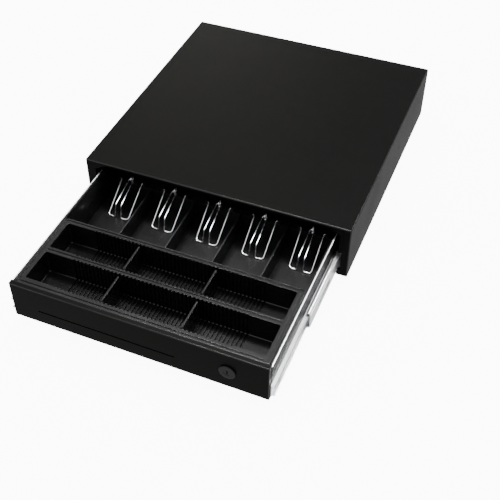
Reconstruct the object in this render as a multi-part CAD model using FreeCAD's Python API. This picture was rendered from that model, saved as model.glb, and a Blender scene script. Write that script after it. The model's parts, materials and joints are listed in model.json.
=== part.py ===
"""Cash drawer: steel housing, drawer on ball-bearing slides, plastic till, coin tray and latch.

Millimetres, +Z up, +X to the right as seen from the front, +Y to the back.
Every piece is drawn in the housing's frame: y = 0 on the housing's front plane, z = 0 on the
underside of its shell, x = 0 in the middle, and with the drawer shut. write() then moves it to the
stored pose, in which the drawer stands open by OPEN_TRAVEL, and to the part's own origin, which is
the middle of the stored box at the height that the feet stand on.
"""
import FreeCAD
import Part

import math
import os

V = FreeCAD.Vector

# ---------------------------------------------------------------- driving dimensions
HOUSING_W = 410.0
HOUSING_D = 418.0
HOUSING_H = 88.0
SHEET = 1.2
BEND_R = 2.2
FOOT_H = 12.0
FRONT_FLANGE = 16.0
TOP_LIP = 4.8
GUSSET_W = 17.0
GUSSET_H = 8.6
BOTTOM_FLANGE = 14.0
REAR_FLANGE = 10.0

SLIDE_ROOM = 21.8
LATCH_ROOM = 136.8
HEADROOM = 19.7
PANEL_Z = 10.4
PANEL_RETURN = 6.4
SLOT_W = 199.0
SLOT_H = 2.4
SLOT_X = -44.0

PAN_BOTTOM = 9.6
REAR_CUT = 6.3
SLIDE_START = 4.0
SLIDE_MID_Z = 26.5
RACE_T = 1.0
BALL_R = 1.98
BALLS_PER_ROW = 6

MIDDLE_SHARE = 0.5
OUTER_CAGE_SHARE = 0.25
INNER_CAGE_SHARE = 0.75

TILL_WALL = 2.1
TILL_FLOOR = 1.5
TILL_DIVIDER = 2.4
BILL_COMPARTMENTS = 5
DECK_DROP = 26.8
DECK_T = 1.6

TRAY_WALL = 2.4
TRAY_FLOOR_T = 3.0
TRAY_RIM_T = 2.6
TRAY_DEPTH = 36.8
TRAY_ROWS = ((20.2, 72.4), (81.9, 132.6))
TRAY_RIM_Y = (9.4, 141.2)
GROOVE_PITCH = 5.7
GROOVE_W = 2.8
GROOVE_DEPTH = 1.6
FLOOR_GROOVE = 2.2
DIVIDER_T = 2.4

WIRE_R = 0.8
CLIP_HALF_W = 16.8
CLIP_HALF_IN = 4.4
EYE_RING_R = 3.7
EYE_WIRE_R = 0.7

LOCK_INSET = 54.7
LOCK_BARREL_R = 9.0
LOCK_PLUG_R = 5.4
LOCK_NOSE = 2.0
CAM_W = 12.0
CAM_T = 2.0

SCREW_R = 2.0
SCREW_HEAD_R = 4.0
SCREW_HEAD_H = 2.0

LATCH_X = 14.0
LATCH_T = 3.0
LATCH_Z = 38.0
LATCH_PIN_R = 3.0
LATCH_SWING = 14.0
LATCH_TAIL = 30.0
LATCH_LOBE = 14.0
STRIKER_R = 2.5
PLATFORM_Z = 27.5
PLATFORM_T = 1.5
PLUNGER_R = 4.9

JACK_X = -120.0
JACK_Z = 30.0
EJECTOR_X = -78.0
EJECTOR_Z = 33.0
EJECTOR_FREE = 54.0
LEAD_R = 1.6

# ---------------------------------------------------------------- clearances
GAP = 0.3
RUNNING = 0.06
BALL_GAP = 0.12
SEAT = 0.05
LOOSE = 0.15

# ---------------------------------------------------------------- places worked out from them
IN_X = HOUSING_W / 2 - SHEET
IN_TOP = HOUSING_H - SHEET
OPENING_X = HOUSING_W / 2 - FRONT_FLANGE
BASE_TOP = 2 * SHEET
FLANGE_MID_X = HOUSING_W / 2 - BOTTOM_FLANGE / 2
SCREW_HOLE_R = SCREW_R + LOOSE

PAN_X = HOUSING_W / 2 - SLIDE_ROOM
PAN_IN_X = PAN_X - SHEET
PAN_FRONT = SHEET + PANEL_RETURN
PAN_REAR = HOUSING_D - LATCH_ROOM
PAN_TOP = HOUSING_H - HEADROOM
PAN_REAR_TOP = PAN_TOP - REAR_CUT
PAN_FLOOR_TOP = PAN_BOTTOM + SHEET
PANEL_X = PAN_X - 0.5
PANEL_H = PAN_TOP + 3.1 - PANEL_Z
PANEL_SCREW_X = PANEL_X - 22.7
SLOT_Z = PANEL_Z + 0.38 * PANEL_H
SLIDE_LENGTH = PAN_REAR - SLIDE_START - 27.2
OPEN_TRAVEL = SLIDE_LENGTH - 4.0
CAGE_LENGTH = SLIDE_LENGTH * 0.416
BALL_PITCH = CAGE_LENGTH / (BALLS_PER_ROW + 0.12)

TRAY_TOP = PAN_TOP
TRAY_FLOOR_Z = TRAY_TOP - TRAY_DEPTH
TRAY_BOTTOM = TRAY_FLOOR_Z - TRAY_FLOOR_T
DIVIDER_TOP = TRAY_TOP - 0.9

TILL_X = PAN_IN_X - GAP
TILL_IN_X = TILL_X - TILL_WALL
TILL_BOTTOM = PAN_FLOOR_TOP + GAP
TILL_FLOOR_TOP = TILL_BOTTOM + TILL_FLOOR
TILL_TOP = PAN_TOP - GAP
TILL_REAR = PAN_REAR - SHEET - 2 * GAP
TILL_LOW_TOP = TRAY_BOTTOM - GAP
DECK_TOP = PAN_TOP - DECK_DROP
TILL_DIVIDER_TOP = DECK_TOP + 3.5
BILL_FRONT_Y = TRAY_RIM_Y[1] + 2 * GAP
BILL_REAR_Y = PAN_REAR - 13.2
BILL_PITCH = 2 * TILL_IN_X / BILL_COMPARTMENTS
BILL_CENTRES = [BILL_PITCH * (i - (BILL_COMPARTMENTS - 1) / 2) for i in range(BILL_COMPARTMENTS)]
BILL_WALLS = [BILL_PITCH * (i - BILL_COMPARTMENTS / 2) for i in range(1, BILL_COMPARTMENTS)]
CLIP_PIVOT_Y = PAN_REAR - 10.2
CLIP_PIVOT_Z = DECK_TOP + WIRE_R + 2.7
CLIP_BOW = (CLIP_PIVOT_Y - 1.2, CLIP_PIVOT_Z + 4.0)

TRAY_X = TILL_IN_X - 0.4
TRAY_CUP_X = TRAY_X - 9.2
GROOVES_EACH_SIDE = int((TRAY_CUP_X - 44.0) / GROOVE_PITCH)
DIVIDER_GROOVE = GROOVES_EACH_SIDE // 2 - 1

LOCK_X = PANEL_X - LOCK_INSET
LOCK_Z = PANEL_Z + PANEL_H / 2
CAM_REACH = LOCK_Z - 6.0
CAM_Y = PAN_FRONT + SHEET + 4.4

STRIKER_Y = PAN_REAR + 14.8
LATCH_Y = PAN_REAR + 48.8
LATCH_TOP = LATCH_Z + LATCH_T
EJECTOR_Y = PAN_REAR + 40.8
COIL_Y = (LATCH_Y + 22.0, LATCH_Y + 62.0)
SWITCH_PIVOT = (LATCH_X - LATCH_LOBE - 15.0, LATCH_Y + 1.5)
ORIGIN = V(0, (HOUSING_D - OPEN_TRAVEL) / 2, -FOOT_H)

X, Y, Z = V(1, 0, 0), V(0, 1, 0), V(0, 0, 1)


# ---------------------------------------------------------------- helpers
def box(x0, x1, y0, y1, z0, z1):
    """A box between two corners."""
    return Part.makeBox(x1 - x0, y1 - y0, z1 - z0, V(x0, y0, z0))


def rod(r, start, length, axis=Z):
    """A cylinder of radius r from a start point along an axis."""
    return Part.makeCylinder(r, length, V(*start), axis)


def union(shapes):
    """Several overlapping or touching solids as one."""
    first, rest = shapes[0], shapes[1:]
    return (first.multiFuse(rest) if rest else first).removeSplitter()


def group(shapes):
    """Several separate solids in one node."""
    return Part.makeCompound(shapes)


def both_sides(shape):
    """A solid and its mirror image in the middle plane."""
    return [shape, shape.mirror(V(0, 0, 0), X)]


def mirrored(shape):
    return shape.mirror(V(0, 0, 0), X)


def plate(points, z0, thickness):
    """A flat plate of a closed outline in x and y."""
    corners = [V(x, y, z0) for x, y in points]
    return Part.Face(Part.makePolygon(corners + corners[:1])).extrude(V(0, 0, thickness))


def edges_where(shape, test):
    """The straight edges whose two ends and direction pass a test(a, b)."""
    found = []
    for edge in shape.Edges:
        if len(edge.Vertexes) == 2 and test(edge.Vertexes[0].Point, edge.Vertexes[1].Point):
            found.append(edge)
    return found


def upright(a, b):
    return abs(a.x - b.x) < 1e-6 and abs(a.y - b.y) < 1e-6


def along_y(a, b):
    return abs(a.x - b.x) < 1e-6 and abs(a.z - b.z) < 1e-6


def along_x(a, b):
    return abs(a.y - b.y) < 1e-6 and abs(a.z - b.z) < 1e-6


def rounded_box(x0, x1, y0, y1, z0, z1, r):
    """A box with its four upright edges rounded."""
    solid = box(x0, x1, y0, y1, z0, z1)
    return solid.makeFillet(r, edges_where(solid, upright))


def screw(x, y, z, shank, up=1):
    """A pan-head screw: its head's seat is at z, and the shank runs up or down from there."""
    axis = V(0, 0, up)
    body = rod(SCREW_R, (x, y, z), shank, axis)
    head = rod(SCREW_HEAD_R, (x, y, z), SCREW_HEAD_H, V(0, 0, -up))
    crown = z - up * SCREW_HEAD_H
    head = head.makeFillet(0.8, [e for e in head.Edges if abs(e.BoundBox.ZMin - crown) < 1e-6
                                 and e.BoundBox.ZLength < 1e-6])
    cross = [box(x - a, x + a, y - b, y + b, crown - 1.1, crown + 1.1) for a, b in ((2.2, 0.45), (0.45, 2.2))]
    return body.fuse(head).cut(union(cross)).removeSplitter()


def rounded_wire(points, radii):
    """A path of straight runs with a tangent arc at each inner point."""
    runs = []
    start = points[0]
    for i in range(1, len(points) - 1):
        before = (points[i - 1] - points[i]).normalize()
        after = (points[i + 1] - points[i]).normalize()
        half = math.acos(max(-1.0, min(1.0, before.dot(after)))) / 2
        r = radii[i - 1]
        reach = r / math.tan(half)
        a = points[i] + before * reach
        b = points[i] + after * reach
        middle = (before + after).normalize()
        crown = points[i] + middle * (r / math.sin(half) - r)
        if (a - start).Length > 1e-6:
            runs.append(Part.LineSegment(start, a).toShape())
        runs.append(Part.Arc(a, crown, b).toShape())
        start = b
    runs.append(Part.LineSegment(start, points[-1]).toShape())
    return Part.Wire(runs)


def tube_along(path, r):
    """A round wire of radius r along a path."""
    first = path.Edges[0]
    at, direction = first.valueAt(first.FirstParameter), first.tangentAt(first.FirstParameter)
    ring = Part.Wire(Part.makeCircle(r, at, direction))
    return path.makePipeShell([ring], True, True)


def coil(mean_r, wire_r, pitch, turns, at, axis):
    """A helical spring whose first turn starts at a point on its axis."""
    helix = Part.makeHelix(pitch, pitch * turns, mean_r)
    ring = Part.Wire(Part.makeCircle(wire_r, V(mean_r, 0, 0), V(0, mean_r, pitch / (2 * math.pi))))
    spring = Part.Wire(helix.Edges).makePipeShell([ring], True, True)
    spring = Part.Solid(spring) if spring.ShapeType == "Shell" else spring
    turn = FreeCAD.Rotation(Z, axis)
    spring.Placement = FreeCAD.Placement(V(*at), turn)
    return spring


written = {}


def write(node, shape, slides=0.0):
    """Moves a piece to its stored place and writes it as parts/NODE.step."""
    placed = shape.copy()
    placed.translate(V(0, -OPEN_TRAVEL * slides, 0) - ORIGIN)
    if not placed.isValid():
        print("NOT VALID", node)
    placed.exportStep("parts/%s.step" % node)
    written[node] = placed
    print("%-20s solids %3d  volume %9.1f mm3" % (node, len(placed.Solids), placed.Volume))


# ---------------------------------------------------------------- housing
FOOT_PLACES = [(side * (HOUSING_W / 2 - 35), y) for side in (-1, 1) for y in (40, HOUSING_D - 40)]
COVER_SCREWS = [(side * FLANGE_MID_X, y) for side in (-1, 1) for y in (20, 0.72 * HOUSING_D, HOUSING_D - 20)]
BACK_SCREW_X = IN_X - REAR_FLANGE / 2
BACK_SCREWS = [(side * BACK_SCREW_X, z) for side in (-1, 1) for z in (20, HOUSING_H - 18)]
BACK_SCREWS.append((0, IN_TOP - REAR_FLANGE / 2))
PLATFORM_X = (LATCH_X - 54, LATCH_X + 56)
PLATFORM_Y = (LATCH_Y - 12, LATCH_Y + 72)
BRACKET_SCREWS = [(x, y) for x in (PLATFORM_X[0] - 6, PLATFORM_X[1] + 6)
                  for y in (PLATFORM_Y[0] + 8, PLATFORM_Y[1] - 8)]
EJECTOR_SCREWS = [(EJECTOR_X + side * 16, EJECTOR_Y + 18) for side in (-1, 1)]


def bent_shell(x, y0, y1, z1, r):
    """The block inside a folded cover, with its top, front and front upright edges rounded."""
    solid = box(-x, x, y0, y1, 0, z1)
    bends = edges_where(solid, lambda a, b: (along_y(a, b) and a.z > z1 - 1)
                        or (along_x(a, b) and a.z > z1 - 1 and a.y < y0 + 1)
                        or (upright(a, b) and a.y < y0 + 1))
    return solid.makeFillet(r, bends)


def front_opening():
    """The opening for the drawer, with a gusset across each top corner."""
    top = HOUSING_H - TOP_LIP
    outline = [(-OPENING_X, -1), (OPENING_X, -1), (OPENING_X, top - GUSSET_H), (OPENING_X - GUSSET_W, top),
               (-OPENING_X + GUSSET_W, top), (-OPENING_X, top - GUSSET_H)]
    corners = [V(x, -1, z) for x, z in outline]
    doorway = Part.Face(Part.makePolygon(corners + corners[:1])).extrude(V(0, 2 * SHEET + 2, 0))
    reach = OUTER_BALL[1] + BALL_R
    notch = box(OPENING_X - 1, PAN_X + OUTER_WEB[0], -1, 2 * SHEET + 1,
                SLIDE_MID_Z - reach, SLIDE_MID_Z + reach)
    return union([doorway] + both_sides(notch))


def housing_cover():
    cover = bent_shell(HOUSING_W / 2, 0, HOUSING_D, HOUSING_H, BEND_R)
    hollow = bent_shell(IN_X, SHEET, HOUSING_D + 1, IN_TOP, BEND_R - SHEET)
    hollow = hollow.fuse(box(-IN_X, IN_X, SHEET + BEND_R, HOUSING_D + 1, -1, 10))
    hollow = hollow.fuse(box(-IN_X + BEND_R, IN_X - BEND_R, SHEET, HOUSING_D + 1, -1, 10))
    cover = cover.cut(hollow).cut(front_opening())
    rear = HOUSING_D - SHEET
    in_flange = IN_X - REAR_FLANGE
    flanges = [box(-IN_X, IN_X, rear - SHEET, rear, IN_TOP - REAR_FLANGE, IN_TOP)]
    flanges += both_sides(box(in_flange, IN_X, rear - SHEET, rear, 0, IN_TOP))
    flanges += both_sides(box(HOUSING_W / 2 - BOTTOM_FLANGE, IN_X + SHEET / 2, SHEET / 2, rear, 0, SHEET))
    cover = union([cover] + flanges)
    holes = [rod(SCREW_HOLE_R, (x, y, -1), 3) for x, y in COVER_SCREWS]
    holes += [rod(SCREW_HOLE_R, (x, rear - SHEET - 1, z), SHEET + 2, Y) for x, z in BACK_SCREWS]
    return cover.cut(holes)


def base_plate():
    half = IN_X - GAP
    front = SHEET + GAP
    sheet = box(-half, half, front, HOUSING_D - 2 * SHEET - GAP, SHEET, BASE_TOP)
    lip = box(-OPENING_X + 1, OPENING_X - 1, front, front + SHEET, SHEET, PAN_BOTTOM - 1.4)
    catch = box(LOCK_X - 10, LOCK_X + 10, CAM_Y - 3, CAM_Y - 1.5, SHEET, PAN_BOTTOM - 0.6)
    holes = [rod(SCREW_HOLE_R, (x, y, 0), 4) for x, y in FOOT_PLACES + COVER_SCREWS + BRACKET_SCREWS]
    holes += [rod(SCREW_HOLE_R, (x, y, 0), 4) for x, y in EJECTOR_SCREWS]
    release = rounded_box(LATCH_X - 4, LATCH_X + 36, LATCH_Y - 26, LATCH_Y - 16, 0, 4, 4.5)
    return union([sheet, lip, catch]).cut(holes + [release])


def back_panel():
    rear = HOUSING_D - SHEET
    sheet = box(-IN_X + GAP, IN_X - GAP, rear, HOUSING_D, SHEET + GAP, IN_TOP - GAP)
    cut_out = box(JACK_X - 7.2, JACK_X + 7.2, rear - 1, HOUSING_D + 1, JACK_Z - 6.7, JACK_Z + 6.7)
    holes = [rod(SCREW_HOLE_R, (x, rear - 1, z), SHEET + 2, Y) for x, z in BACK_SCREWS]
    return sheet.cut(holes + [cut_out])


def back_screws():
    """Pan-head screws that hold the back panel to the cover's rear flanges."""
    turn = FreeCAD.Rotation(X, 90)
    pieces = []
    for x, z in BACK_SCREWS:
        piece = screw(0, 0, 0, 8.0)
        piece.Placement = FreeCAD.Placement(V(x, HOUSING_D, z), turn)
        pieces.append(piece)
    return group(pieces)


def rubber_feet():
    pieces = []
    for x, y in FOOT_PLACES:
        foot = Part.makeCone(13.0, 15.0, FOOT_H + SHEET, V(x, y, -FOOT_H), Z)
        foot = foot.makeFillet(1.5, [e for e in foot.Edges if e.BoundBox.ZMax < -FOOT_H + 0.1])
        foot = foot.cut(rod(5.5, (x, y, -FOOT_H - 1), 9))
        pieces.append(foot.cut(rod(SCREW_HOLE_R, (x, y, -FOOT_H), FOOT_H + 4)))
    return group(pieces)


def housing_screws(places, seat, shank):
    return group([screw(x, y, seat, shank) for x, y in places])


def top_screws(places, seat, shank):
    return group([screw(x, y, seat, shank, up=-1) for x, y in places])


# ---------------------------------------------------------------- slides
# A slide's section is drawn in u, out from the drawer's wall, and v, up from the slide's middle.
RACE_R = BALL_R + BALL_GAP
INNER_WEB = (0.0, SHEET)
INNER_BALL = (INNER_WEB[1] + RACE_R + 1.1, 11.0)
MIDDLE_WEB = (INNER_BALL[0] + RACE_R + 0.7, INNER_BALL[0] + RACE_R + 1.8)
# an outer ball sits on the shoulder of the middle member's rolled edge, up and out from the inner ball
SHOULDER = 2 * RACE_R + RACE_T
SHOULDER_ANGLE = math.radians(32.2)
OUTER_BALL = (INNER_BALL[0] + SHOULDER * math.cos(SHOULDER_ANGLE),
              INNER_BALL[1] + SHOULDER * math.sin(SHOULDER_ANGLE))
OUTER_WEB = (OUTER_BALL[0] + RACE_R, OUTER_BALL[0] + RACE_R + RACE_T)
BRACKET_WEB = (OUTER_WEB[1], OUTER_WEB[1] + SHEET)


def bar(u0, u1, v0, v1, y0, length):
    """A strip of a slide's section, drawn out along the slide."""
    return box(PAN_X + u0, PAN_X + u1, y0, y0 + length, SLIDE_MID_Z + v0, SLIDE_MID_Z + v1)


def curl(centre, start, end, y0, length):
    """The rolled edge of a slide around a row of balls, from one angle to another in degrees."""
    u, v = centre
    section = []
    for r in (RACE_R, RACE_R + RACE_T):
        angles = [math.radians(t) for t in (start, (start + end) / 2, end)]
        section.append([V(PAN_X + u + r * math.cos(t), y0, SLIDE_MID_Z + v + r * math.sin(t))
                        for t in angles])
    (a, m, b), (c, n, d) = section
    edges = [Part.Arc(a, m, b).toShape(), Part.LineSegment(b, d).toShape(),
             Part.Arc(d, n, c).toShape(), Part.LineSegment(c, a).toShape()]
    return Part.Face(Part.Wire(edges)).extrude(V(0, length, 0))


def upside_down(shape):
    """The same shape mirrored in the slide's middle height."""
    return shape.mirror(V(0, 0, SLIDE_MID_Z), Z)


RIVET_PLACES = [SLIDE_START + SLIDE_LENGTH * s for s in (0.12, 0.38, 0.62, 0.88)]
SLIDE_SCREW_PLACES = [SLIDE_START + SLIDE_LENGTH * s for s in (0.12, 0.5, 0.88)]


def slide_inner():
    """The member on the drawer: a channel whose edges carry the inner balls."""
    y0, length = SLIDE_START, SLIDE_LENGTH
    low = INNER_BALL[1] - RACE_R - RACE_T
    top = [bar(0, INNER_BALL[0], low, low + RACE_T, y0, length), curl(INNER_BALL, 270, 300, y0, length)]
    web = bar(*INNER_WEB, -low - 2.4, low + 2.4, y0, length)
    member = union([web] + top + [upside_down(s) for s in top])
    holes = [rod(SCREW_R + SEAT, (PAN_X - 1, y, SLIDE_MID_Z), 4, X) for y in SLIDE_SCREW_PLACES]
    return member.cut(holes)


def slide_middle():
    """The member between: inner balls run inside its edges and outer balls on their shoulders."""
    y0, length = SLIDE_START, SLIDE_LENGTH
    top = curl(INNER_BALL, 5, 160, y0, length)
    half = INNER_BALL[1] + 0.75
    web = bar(*MIDDLE_WEB, -half, half, y0, length)
    window = bar(MIDDLE_WEB[0] - 1, MIDDLE_WEB[1] + 1, -4, 4, y0 + length * 0.12, length * 0.2)
    return union([web, top, upside_down(top)]).cut(window)


def slide_outer():
    """The member on the housing: its edges wrap the outer balls."""
    y0, length = SLIDE_START, SLIDE_LENGTH
    top = curl(OUTER_BALL, 0, 120, y0, length)
    web = bar(*OUTER_WEB, -OUTER_BALL[1] - 0.4, OUTER_BALL[1] + 0.4, y0, length)
    member = union([web, top, upside_down(top)])
    holes = [rod(SCREW_R + SEAT, (PAN_X + OUTER_WEB[0] - 1, y, SLIDE_MID_Z), 4, X) for y in RIVET_PLACES]
    return member.cut(holes)


def slide_bracket():
    """The folded bracket that holds the outer member off the housing's side."""
    y0, length = SLIDE_START, SLIDE_LENGTH
    half = OUTER_BALL[1] + RACE_R + RACE_T
    wall = IN_X - PAN_X
    parts = [bar(*BRACKET_WEB, -half, half, y0, length)]
    parts += [bar(BRACKET_WEB[0], wall, half - SHEET, half, y0, length)]
    parts += [bar(BRACKET_WEB[0], wall, -half, -half + SHEET, y0, length)]
    parts += [bar(wall - SHEET, wall, half - SHEET, half + 8, y0, length)]
    holes = [rod(SCREW_R + SEAT, (PAN_X + OUTER_WEB[0] - 1, y, SLIDE_MID_Z), 5, X) for y in RIVET_PLACES]
    return union(parts).cut(holes)


def slide_rivets():
    pieces = []
    for y in RIVET_PLACES:
        shank = rod(SCREW_R, (PAN_X + OUTER_WEB[0], y, SLIDE_MID_Z), BRACKET_WEB[1] - OUTER_WEB[0], X)
        head = rod(3.6, (PAN_X + BRACKET_WEB[1], y, SLIDE_MID_Z), 1.3, X)
        pieces += both_sides(shank.fuse(head).removeSplitter())
    return group(pieces)


def slide_screws():
    pieces = []
    for y in SLIDE_SCREW_PLACES:
        shank = rod(SCREW_R, (PAN_IN_X, y, SLIDE_MID_Z), SHEET + INNER_WEB[1], X)
        head = rod(3.6, (PAN_X + INNER_WEB[1], y, SLIDE_MID_Z), 1.6, X)
        pieces += both_sides(shank.fuse(head).removeSplitter())
    return group(pieces)


CAGE_START = SLIDE_START + (SLIDE_LENGTH - CAGE_LENGTH) / 2
BALL_PLACES = [CAGE_START + CAGE_LENGTH / 2 + BALL_PITCH * (i - (BALLS_PER_ROW - 1) / 2)
               for i in range(BALLS_PER_ROW)]
POCKET_R = BALL_R + BALL_GAP


def outer_ball_cage():
    """A flat strip with an open notch for each outer ball."""
    u, v = OUTER_BALL
    half = v + 0.5 * BALL_R
    strip = bar(MIDDLE_WEB[1] + 0.6, MIDDLE_WEB[1] + 1.2, -half, half, CAGE_START, CAGE_LENGTH)
    notches = []
    for y in BALL_PLACES:
        for side in (-1, 1):
            notches.append(rod(POCKET_R, (PAN_X + u - 2, y, SLIDE_MID_Z + side * v), 5, X))
            low, high = sorted((side * v, side * (v + 4)))
            notches.append(bar(u - 2, u + 3, low, high, y - POCKET_R, 2 * POCKET_R))
    window = bar(u - 1, u + 1.2, -8, 8, CAGE_START + 12, CAGE_LENGTH - 24)
    return strip.cut(notches + [window])


def inner_ball_cage():
    """A folded strip with a round pocket for each inner ball."""
    u, v = INNER_BALL
    top, back = v - 0.2, MIDDLE_WEB[0] - GAP
    web = bar(back - 0.5, back, -top, top, CAGE_START, CAGE_LENGTH)
    shelf = bar(INNER_WEB[1] + 0.7, back, top - 0.6, top, CAGE_START, CAGE_LENGTH)
    window = bar(back - 1, back + 1, -6, 6, CAGE_START + 12, CAGE_LENGTH - 24)
    cage = union([web, shelf, upside_down(shelf)])
    pockets = [rod(POCKET_R, (PAN_X + u, y, SLIDE_MID_Z - 14), 28) for y in BALL_PLACES]
    return cage.cut(pockets + [window])


def balls(centre):
    u, v = centre
    pieces = []
    for y in BALL_PLACES:
        for side in (-1, 1):
            ball = Part.makeSphere(BALL_R, V(PAN_X + u, y, SLIDE_MID_Z + side * v))
            pieces += both_sides(ball)
    return group(pieces)


# ---------------------------------------------------------------- drawer
PANEL_SCREWS = [(side * PANEL_SCREW_X, z) for side in (-1, 1) for z in (PANEL_Z + 11.6, PAN_TOP - 12.3)]


def drawer_pan():
    outer = box(-PAN_X, PAN_X, PAN_FRONT, PAN_REAR, PAN_BOTTOM, PAN_TOP)
    inner = box(-PAN_IN_X, PAN_IN_X, PAN_FRONT + SHEET, PAN_REAR - SHEET, PAN_FLOOR_TOP, PAN_TOP + 1)
    over_front = box(-PAN_IN_X, PAN_IN_X, PAN_FRONT - 1, PAN_FRONT + SHEET + 1, PAN_TOP - 1.6, PAN_TOP + 1)
    over_rear = box(-PAN_IN_X, PAN_IN_X, PAN_REAR - SHEET - 1, PAN_REAR + 1, PAN_REAR_TOP, PAN_TOP + 1)
    slot = box(SLOT_X - SLOT_W / 2 - 3, SLOT_X + SLOT_W / 2 + 3, PAN_FRONT - 1, PAN_FRONT + SHEET + 1,
               SLOT_Z - SLOT_H / 2 - 2, SLOT_Z + SLOT_H / 2 + 2)
    lock_hole = rod(LOCK_BARREL_R + LOOSE, (LOCK_X, PAN_FRONT - 1, LOCK_Z), SHEET + 2, Y)
    cam_slot = box(LOCK_X - 24, LOCK_X + 9, CAM_Y - 1.8, CAM_Y + 4.2, PAN_BOTTOM - 1, PAN_FLOOR_TOP + 1)
    holes = [rod(SCREW_HOLE_R, (x, PAN_FRONT - 1, z), SHEET + 2, Y) for x, z in PANEL_SCREWS]
    for y in SLIDE_SCREW_PLACES:
        holes += both_sides(rod(SCREW_R + SEAT, (PAN_IN_X - 1, y, SLIDE_MID_Z), 3, X))
    return outer.cut([inner, over_front, over_rear, slot, lock_hole, cam_slot] + holes)


def front_panel():
    """The drawer's face: a shallow folded tray with its edges turned back to the pan."""
    half = PANEL_X
    top = PANEL_Z + PANEL_H
    block = box(-half, half, 0, PAN_FRONT, PANEL_Z, top)
    front = edges_where(block, lambda a, b: a.y < 1e-6 and b.y < 1e-6)
    block = block.makeFillet(1.3, front)
    hollow = box(-half + SHEET, half - SHEET, SHEET, PAN_FRONT + 1, PANEL_Z + SHEET, top - SHEET)
    slot = rounded_slot(SLOT_X, SLOT_Z, SLOT_W, SLOT_H)
    lock_hole = rod(LOCK_BARREL_R + LOOSE, (LOCK_X, -1, LOCK_Z), SHEET + 2, Y)
    panel = block.cut([hollow, slot, lock_hole])
    # each boss is a clinched nut that a panel screw runs into
    bosses = [rod(4.2, (x, SHEET / 2, z), PANEL_RETURN + SHEET / 2, Y) for x, z in PANEL_SCREWS]
    tapped = [rod(SCREW_R + SEAT, (x, SHEET + 0.4, z), PANEL_RETURN + 1, Y) for x, z in PANEL_SCREWS]
    return union([panel] + bosses).cut(tapped)


def rounded_slot(x, z, width, height):
    """A slot through the front panel with round ends."""
    half = width / 2 - height / 2
    parts = [box(x - half, x + half, -1, SHEET + 1, z - height / 2, z + height / 2)]
    parts += [rod(height / 2, (x + side * half, -1, z), SHEET + 2, Y) for side in (-1, 1)]
    return union(parts)


def panel_screws():
    """Screws from inside the pan's front wall into the panel's bosses."""
    turn = FreeCAD.Rotation(X, 90)
    pieces = []
    for x, z in PANEL_SCREWS:
        piece = screw(0, 0, 0, SHEET + PANEL_RETURN - 1.2)
        piece.Placement = FreeCAD.Placement(V(x, PAN_FRONT + SHEET, z), turn)
        pieces.append(piece)
    return group(pieces)


def striker():
    """The clevis on the pan's rear wall, and the pin across it that the latch hooks."""
    low, high = LATCH_Z - 6, LATCH_Z + 8.5
    back = box(-16, 16, PAN_REAR, PAN_REAR + 1.5, low - 6, high + 7.5)
    ears = [box(-7, 7, PAN_REAR, STRIKER_Y + 5, z, z + 1.5) for z in (low, high)]
    clevis = union([back] + ears).cut(rod(STRIKER_R + SEAT, (0, STRIKER_Y, low - 12), 40))
    pin = rod(STRIKER_R, (0, STRIKER_Y, low - 1), high - low + 3.5)
    return group([clevis, pin])


# ---------------------------------------------------------------- lock
def lock_body():
    bezel = rod(LOCK_BARREL_R + 2.2, (LOCK_X, -LOCK_NOSE, LOCK_Z), LOCK_NOSE, Y)
    bezel = bezel.makeFillet(0.9, [e for e in bezel.Edges if e.BoundBox.YMax < -LOCK_NOSE + 0.01])
    barrel = rod(LOCK_BARREL_R, (LOCK_X, 0, LOCK_Z), CAM_Y - 0.4, Y)
    bore = rod(LOCK_PLUG_R + RUNNING, (LOCK_X, -LOCK_NOSE - 1, LOCK_Z), 20, Y)
    return bezel.fuse(barrel).removeSplitter().cut(bore)


def lock_nut():
    r = LOCK_BARREL_R + 3.5
    at = PAN_FRONT + SHEET
    turns = [math.radians(60 * i) for i in range(7)]
    corners = [V(LOCK_X + r * math.cos(t), at, LOCK_Z + r * math.sin(t)) for t in turns]
    nut = Part.Face(Part.makePolygon(corners)).extrude(V(0, 3.0, 0))
    return nut.cut(rod(LOCK_BARREL_R + SEAT, (LOCK_X, at - 1, LOCK_Z), 6, Y))


def lock_plug():
    plug = rod(LOCK_PLUG_R, (LOCK_X, 0.2 - LOCK_NOSE, LOCK_Z), CAM_Y + LOCK_NOSE - 0.2, Y)
    key_way = box(LOCK_X - 0.7, LOCK_X + 0.7, -LOCK_NOSE - 1, 7, LOCK_Z - 3.4, LOCK_Z + 3.4)
    warding = box(LOCK_X - 0.7, LOCK_X + 1.5, -LOCK_NOSE - 1, 7, LOCK_Z - 1.4, LOCK_Z - 0.5)
    return plug.cut([key_way, warding, rod(SCREW_R + SEAT, (LOCK_X, CAM_Y - 5.2, LOCK_Z), 6, Y)])


def lock_cam():
    """The tongue: level while the drawer is free, and down behind the catch when it is locked."""
    tip = LOCK_X - CAM_REACH + CAM_W / 2
    strap = box(tip, LOCK_X, CAM_Y, CAM_Y + CAM_T, LOCK_Z - CAM_W / 2, LOCK_Z + CAM_W / 2)
    ends = [rod(CAM_W / 2, (x, CAM_Y, LOCK_Z), CAM_T, Y) for x in (tip, LOCK_X)]
    return union([strap] + ends).cut(rod(SCREW_R + SEAT, (LOCK_X, CAM_Y - 1, LOCK_Z), CAM_T + 2, Y))


def lock_cam_screw():
    start = CAM_Y - 4.8
    head = rod(4.2, (LOCK_X, CAM_Y + CAM_T, LOCK_Z), 1.6, Y)
    return rod(SCREW_R, (LOCK_X, start, LOCK_Z), CAM_Y + CAM_T - start, Y).fuse(head).removeSplitter()


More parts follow.
